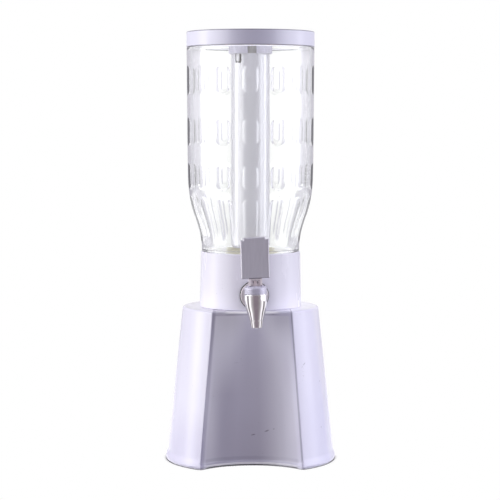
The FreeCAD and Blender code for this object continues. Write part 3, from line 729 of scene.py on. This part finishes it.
# painted shade: the scallop is darkened and greyed, as it faces the dark front of the studio
masked(t, b, t.math("MULTIPLY", t.range(inward, 0.94, 0.72, 0.0, 1.0, smooth=True), front), (0.74, 0.73, 0.785))
# painted shade: the scallop grows darker towards its foot, and darker still in its lowest band
lower = t.math("MULTIPLY", t.range(z, 0.145, 0.095, 0.0, 1.0, smooth=True), t.range(inward, 0.94, 0.90, 0.0, 1.0))
masked(t, b, t.math("MULTIPLY", lower, front), (0.935, 0.93, 0.925))
masked(t, b, t.math("MULTIPLY", t.math("MULTIPLY", t.range(z, 0.0110, 0.0095, 0.0, 1.0), t.range(inward, 0.94, 0.90, 0.0, 1.0)), front), (0.86, 0.86, 0.88))
# the deck is darker towards its left side, and lighter and cooler towards its right
deck = t.range(z, 0.1716, 0.1719, 0.0, 1.0)
masked(t, b, t.math("MULTIPLY", deck, t.range(x, -0.020, -0.050, 0.0, 1.0, smooth=True)), (0.89, 0.885, 0.88))
masked(t, b, t.math("MULTIPLY", deck, t.range(x, 0.020, 0.050, 0.0, 1.0, smooth=True)), (0.93, 0.92, 0.97), "MIX")
# painted highlight along the foot's lower edge in the scallop, with a painted contact shadow line under it
masked(t, b, t.math("MULTIPLY", t.math("MULTIPLY", t.range(z, 0.0040, 0.0032, 0.0, 1.0), t.range(inward, 0.94, 0.90, 0.0, 1.0)), front), (0.96, 0.95, 0.98), "MIX")
masked(t, b, t.math("MULTIPLY", t.math("MULTIPLY", t.range(z, 0.0017, 0.0013, 0.0, 1.0), t.range(inward, 0.94, 0.90, 0.0, 1.0)), front), (0.10, 0.10, 0.11), "MIX")
half = t.math("MULTIPLY_ADD", z, (SCALLOP_TOP[0] - SCALLOP_LOW[0]) / SCALLOP_TOP_Z, SCALLOP_LOW[0] * MM)
drift = t.math("MULTIPLY", t.range(z, 0.030, 0.150, 0.0018, 0.0), t.range(x, -0.010, -0.045, 0.0, 1.0))
across = t.math("DIVIDE", t.math("ADD", x, drift), half)
# painted shade across the left part of the scallop; its right part is tinted a little bluer by painted light
shade = t.math("MULTIPLY", t.range(across, -0.30, -0.93, 0.0, 1.0), t.range(across, -0.985, -1.0, 1.0, 0.0))
masked(t, b, t.math("MULTIPLY", shade, front), (0.74, 0.73, 0.76))
masked(t, b, t.math("MULTIPLY", t.range(across, 0.40, 0.85, 0.0, 1.0, smooth=True), front), (0.96, 0.96, 1.02))
# painted shade along the left crease, and a thin painted dark line along the right one
left = t.math("MULTIPLY", t.range(across, -0.90, -0.935, 0.0, 1.0, smooth=True), t.range(across, -0.985, -1.0, 1.0, 0.0))
right = t.math("MULTIPLY", t.range(across, 0.955, 0.97, 0.0, 1.0, smooth=True), t.range(across, 0.985, 1.0, 1.0, 0.0))
masked(t, b, t.math("MULTIPLY", left, front), (0.80, 0.79, 0.83))
# painted light: the scallop's flanks are lighter than its middle, most of all near the top
flank = t.math("MULTIPLY", t.range(across, 0.15, 0.55, 0.0, 0.40), t.range(across, 0.70, 0.98, 1.0, 0.1))
aside = t.math("MULTIPLY", t.range(z, 0.080, 0.155, 0.0, 0.66), t.range(t.math("ABSOLUTE", across), 0.12, 0.50, 0.0, 1.0))
aside = t.math("MULTIPLY", aside, t.range(t.math("ABSOLUTE", across), 0.93, 0.96, 1.0, 0.3))
flank_light = t.math("MULTIPLY", t.math("MAXIMUM", flank, aside), t.range(inward, 0.975, 0.955, 0.0, 1.0))
masked(t, b, t.math("MULTIPLY", flank_light, t.math("MULTIPLY", front, t.range(z, 0.1672, 0.1666, 0.0, 1.0))), (0.90, 0.89, 0.965), "MIX")
# painted dark line along the right crease
masked(t, b, t.math("MULTIPLY", right, front), (0.62, 0.61, 0.65))
# painted highlight along the deck's rounded front edge, with a painted shade line under it
rim = t.math("MULTIPLY", t.range(inward, 0.90, 0.86, 0.0, 1.0), front)
masked(t, b, t.math("MULTIPLY", t.math("MULTIPLY", t.range(z, 0.1692, 0.1696, 0.0, 1.0), t.range(z, 0.1714, 0.1718, 1.0, 0.0)), rim), (0.97, 0.96, 1.0), "MIX")
masked(t, b, t.math("MULTIPLY", t.math("MULTIPLY", t.range(z, 0.1672, 0.1678, 0.0, 1.0), t.range(z, 0.1688, 0.1692, 1.0, 0.0)), rim), (0.80, 0.79, 0.82))
# faint streaks down the round wall, and a painted cooler light low on its right
streak = t.noise(co, 60.0, 3.0, 0.6, stretch=(1.0, 1.0, 0.06))
wall = t.range(inward, 0.975, 0.99, 0.0, 1.0)
masked(t, b, t.math("MULTIPLY", t.range(streak, 0.45, 0.68, 0.0, 0.5), wall), (0.95, 0.945, 0.97))
cool = t.math("MULTIPLY", t.range(x, 0.045, 0.080, 0.0, 1.0, smooth=True), t.range(z, 0.120, 0.050, 0.0, 1.0, smooth=True))
masked(t, b, t.math("MULTIPLY", cool, wall), (0.955, 0.965, 1.0))
# the round wall is a little darker on its left, and darker still low on the left
masked(t, b, t.math("MULTIPLY", t.range(x, -0.035, -0.055, 0.0, 1.0, smooth=True), wall), (0.93, 0.93, 0.955))
low_left_dark = t.math("MULTIPLY", t.range(x, -0.035, -0.060, 0.0, 1.0, smooth=True), t.range(z, 0.075, 0.020, 0.0, 1.0, smooth=True))
masked(t, b, t.math("MULTIPLY", low_left_dark, t.range(inward, 0.95, 0.98, 0.0, 1.0)), (0.87, 0.86, 0.92))
collar_mat = white_plastic("collar_plastic", WHITE, WARM, 0.24)
# painted light: the thin lip that holds the jar's neck is given a glow
t = Tree.over(collar_mat)
b = t.first("BSDF_PRINCIPLED")
x, y, z, r = xyz(t, t.first("TEX_COORD").outputs["Object"])
b.inputs["Emission Color"].default_value = (0.97, 0.96, 1.0, 1.0)
t.put(b.inputs["Emission Strength"], t.math("MULTIPLY", t.range(r, 0.0542, 0.0538, 0.0, 0.32), t.range(z, 0.205, 0.212, 0.0, 1.0)))
lid_mat = white_plastic("lid_plastic", (0.77, 0.76, 0.88), (0.75, 0.735, 0.855), 0.30, coat=0.25)
lid_mat.node_tree.nodes["Principled BSDF"].inputs["Coat Roughness"].default_value = 0.20
tube_mat = white_plastic("tube_plastic", (0.64, 0.64, 0.68), (0.63, 0.63, 0.67), 0.16, coat=1.0, glow=0.10)
tube_mat.node_tree.nodes["Principled BSDF"].inputs["Coat IOR"].default_value = 1.65
tube_mat.node_tree.nodes["Principled BSDF"].inputs["Coat Roughness"].default_value = 0.16
for ob in (stand, ribs):
    set_material(ob, stand_mat)
set_material(NODES["collar"], collar_mat)
set_material(NODES["lid"], lid_mat)
# painted light: the socket under the lid, a thin wall, and the lid's inside are given a glow
t = Tree.over(lid_mat)
b = t.first("BSDF_PRINCIPLED")
x, y, z, r = xyz(t, t.first("TEX_COORD").outputs["Object"])
below = t.range(z, 0.4606, 0.4614, 1.0, 0.0)
within = t.math("MULTIPLY", t.range(r, 0.0695, 0.0692, 0.0, 1.0), t.math("MULTIPLY", t.range(z, 0.4762, 0.4760, 0.0, 1.0), t.range(z, 0.4606, 0.4614, 0.0, 1.0)))
b.inputs["Emission Color"].default_value = (0.97, 0.96, 1.0, 1.0)
t.put(b.inputs["Emission Strength"], t.math("MAXIMUM", t.math("MULTIPLY", below, 0.15), t.math("MULTIPLY", within, 0.55)))
# painted shade: a dark line along the lid's top edge, and a painted shadow line at the foot of its skirt
edge = t.math("MULTIPLY", t.range(z, 0.4765, 0.4770, 0.0, 1.0), t.range(r, 0.0693, 0.0697, 0.0, 1.0))
foot = t.math("MULTIPLY", t.range(z, 0.4619, 0.4612, 0.0, 1.0), t.range(r, 0.0695, 0.0700, 0.0, 1.0))
masked(t, b, t.math("MAXIMUM", edge, foot), (0.32, 0.31, 0.35))
# painted shade on the skirt's front, which faces the dark front of the studio, and on the socket
facing = t.math("DIVIDE", y, t.math("MAXIMUM", r, 0.001))
masked(t, b, t.math("MULTIPLY", t.range(facing, -0.925, -1.0, 0.0, 1.0), t.range(r, 0.0695, 0.0700, 0.0, 1.0)), (0.78, 0.77, 0.80))
masked(t, b, t.math("MULTIPLY", below, t.range(r, 0.030, 0.026, 0.0, 1.0)), (0.70, 0.69, 0.71))
# the tube's top inside the socket and the far side of its wall get painted shade
t = Tree.over(tube_mat)
b = t.first("BSDF_PRINCIPLED")
x, y, z, r = xyz(t, t.first("TEX_COORD").outputs["Object"])
outside = t.range(r, 0.0204, 0.0207, 0.0, 1.0)
hidden = t.math("MULTIPLY", t.range(z, 0.4534, 0.4537, 0.0, 1.0), outside)
inner = t.math("MULTIPLY", t.range(r, 0.0200, 0.0198, 0.0, 1.0),
               t.math("MAXIMUM", t.range(x, -0.0124, -0.0116, 0.0, 1.0), t.range(z, 0.4463, 0.4455, 0.0, 1.0)))
tube_shade = t.math("MAXIMUM", hidden, inner)
masked(t, b, hidden, (0.50, 0.49, 0.475), "MIX")
masked(t, b, inner, (0.58, 0.57, 0.545), "MIX")
# painted light: a glow on the tube, stronger on its inner wall, none where the painted shade lies
glow = t.math("MAXIMUM", t.range(tube_shade, 0.0, 1.0, 0.13, 0.0), t.math("MULTIPLY", t.range(r, 0.0200, 0.0198, 0.0, 0.45), t.range(tube_shade, 0.0, 1.0, 1.0, 0.0)))
t.put(b.inputs["Emission Strength"], glow)
set_material(NODES["ice_tube"], tube_mat)

m, t, b, co = new_material("jar_clear")
b.inputs["Base Color"].default_value = (0.985, 0.99, 0.985, 1.0)
b.inputs["Transmission Weight"].default_value = 1.0
b.inputs["IOR"].default_value = 1.53
b.inputs["Specular Tint"].default_value = (0.35, 0.35, 0.36, 1.0)
# painted light: a faint glow on the clear wall
b.inputs["Emission Color"].default_value = (0.97, 0.97, 1.0, 1.0)
b.inputs["Emission Strength"].default_value = 0.006
smudge = t.noise(co, 14.0, 4.0, 0.6)
t.put(b.inputs["Roughness"], t.range(smudge, 0.4, 0.75, 0.0, 0.03))
set_material(jar, m)


def metal(name, colour, rough, streak=None, metallic=1.0):
    m, t, b, co = new_material(name)
    b.inputs["Metallic"].default_value = metallic
    n1 = t.noise(co, 130.0, 3.0, 0.6)
    t.put(b.inputs["Base Color"], t.mix(t.range(n1, 0.35, 0.65, 0.0, 1.0), colour, tuple(c * 0.94 for c in colour)))
    n2 = t.noise(co, 300.0, 3.0, 0.6, stretch=streak)
    t.put(b.inputs["Roughness"], t.range(n2, 0.3, 0.7, rough * 0.7, rough * 1.35))
    bump(t, b, n2, 0.04, 0.0001)
    return m


chrome = metal("chrome_plating", (0.80, 0.78, 0.79), 0.05)
satin = metal("chrome_satin", (0.58, 0.56, 0.67), 0.24, metallic=0.15)
lever_metal = metal("chrome_worn", (0.78, 0.715, 0.74), 0.36, metallic=0.12)
beige = metal("chrome_dull", (0.60, 0.555, 0.585), 0.40, metallic=0.3)
steel = metal("steel", (0.62, 0.61, 0.62), 0.22, (1.0, 1.0, 6.0))
set_material(NODES["tap_body"], chrome)
set_material(NODES["bonnet"], satin)
set_material(NODES["lever"], lever_metal)
set_material(NODES["tap_flange"], beige)
for n in ("return_spring", "lever_pin", "plate_screws"):
    set_material(NODES[n], steel)

m, t, b, co = new_material("plate_satin")
b.inputs["Metallic"].default_value = 0.25
grain = t.noise(co, 420.0, 3.0, 0.6, stretch=(1.0, 1.0, 0.12))
t.put(b.inputs["Base Color"], t.mix(t.range(grain, 0.3, 0.7, 0.0, 1.0), (0.62, 0.60, 0.66), (0.57, 0.55, 0.61)))
rel = t.vmath("SUBTRACT", co, (0.002795, -0.0779513, 0.204793))
over = t.vmath("DOT_PRODUCT", rel, (0.998683, 0.041857, 0.029666))
masked(t, b, t.range(over, 0.0125, 0.0150, 0.0, 1.0), (0.80, 0.79, 0.80))
t.put(b.inputs["Roughness"], t.range(grain, 0.3, 0.7, 0.34, 0.46))
bump(t, b, grain, 0.08, 0.0001)
set_material(NODES["handle_plate"], m)

m, t, b, co = new_material("rubber_black")
n1 = t.noise(co, 500.0, 3.0, 0.6)
t.put(b.inputs["Base Color"], t.mix(n1, (0.018, 0.018, 0.02), (0.035, 0.034, 0.036)))
b.inputs["Roughness"].default_value = 0.62
bump(t, b, n1, 0.2, 0.0001)
set_material(NODES["outer_washer"], m)

m, t, b, co = new_material("silicone_milky")
n1 = t.noise(co, 90.0, 3.0, 0.6)
t.put(b.inputs["Base Color"], t.mix(n1, (0.74, 0.74, 0.72), (0.68, 0.68, 0.65)))
b.inputs["Roughness"].default_value = 0.45
b.inputs["Subsurface Weight"].default_value = 0.15
# painted light: the seals are given a glow
b.inputs["Emission Color"].default_value = (0.95, 0.95, 0.97, 1.0)
b.inputs["Emission Strength"].default_value = 0.25
for n in ("lid_seal", "tube_seal", "inner_washer", "stem_seal", "seat_cup"):
    set_material(NODES[n], m)

m, t, b, co = new_material("silicone_yellowed")
n1 = t.noise(co, 45.0, 4.0, 0.65)
x, y, z, r = xyz(t, co)
off = t.math("ABSOLUTE", t.math("SUBTRACT", x, 0.001))
# darker and yellower in the middle than at the sides
yellowed = t.math("ADD", t.range(off, 0.024, 0.031, 1.0, 0.0, smooth=True), t.range(n1, 0.3, 0.7, -0.15, 0.15), clamp=True)
tone = t.mix(yellowed, (0.81, 0.815, 0.80), (0.49, 0.47, 0.375))
t.put(b.inputs["Base Color"], tone)
# painted light: the seal glows in its own tone
t.put(b.inputs["Emission Color"], tone)
b.inputs["Emission Strength"].default_value = 0.45
b.inputs["Roughness"].default_value = 0.38
bump(t, b, n1, 0.15, 0.0004)
set_material(NODES["jar_seal"], m)

m, t, b, co = new_material("nut_matte")
n1 = t.noise(co, 200.0, 3.0, 0.6)
t.put(b.inputs["Base Color"], t.mix(n1, (0.72, 0.72, 0.73), (0.66, 0.66, 0.68)))
b.inputs["Roughness"].default_value = 0.5
bump(t, b, n1, 0.1, 0.0002)
for n in ("ring_nut", "shank_nut"):
    set_material(NODES[n], m)

m, t, b, co = new_material("stem_plastic")
n1 = t.noise(co, 200.0, 3.0, 0.6)
t.put(b.inputs["Base Color"], t.mix(n1, (0.70, 0.63, 0.65), (0.62, 0.56, 0.58)))
b.inputs["Roughness"].default_value = 0.45
# painted light: a glow lifts the stem out of the shade between the lever's cheeks
b.inputs["Emission Color"].default_value = (0.90, 0.80, 0.86, 1.0)
b.inputs["Emission Strength"].default_value = 0.20
set_material(NODES["stem"], m)

# ------------------------------------------------------------------ end
# a copy of the return spring, with a mesh of its own, is put on the stand and the original hidden; the real spring
# shortens as the valve stem lifts, with its top end under the bonnet
coil = bpy.data.objects.new("return_spring_coil", NODES["return_spring"].data.copy())
bpy.context.scene.collection.objects.link(coil)
coil.matrix_world = NODES["return_spring"].matrix_world.copy()
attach(coil, "stand")
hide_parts("return_spring")
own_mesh(coil)
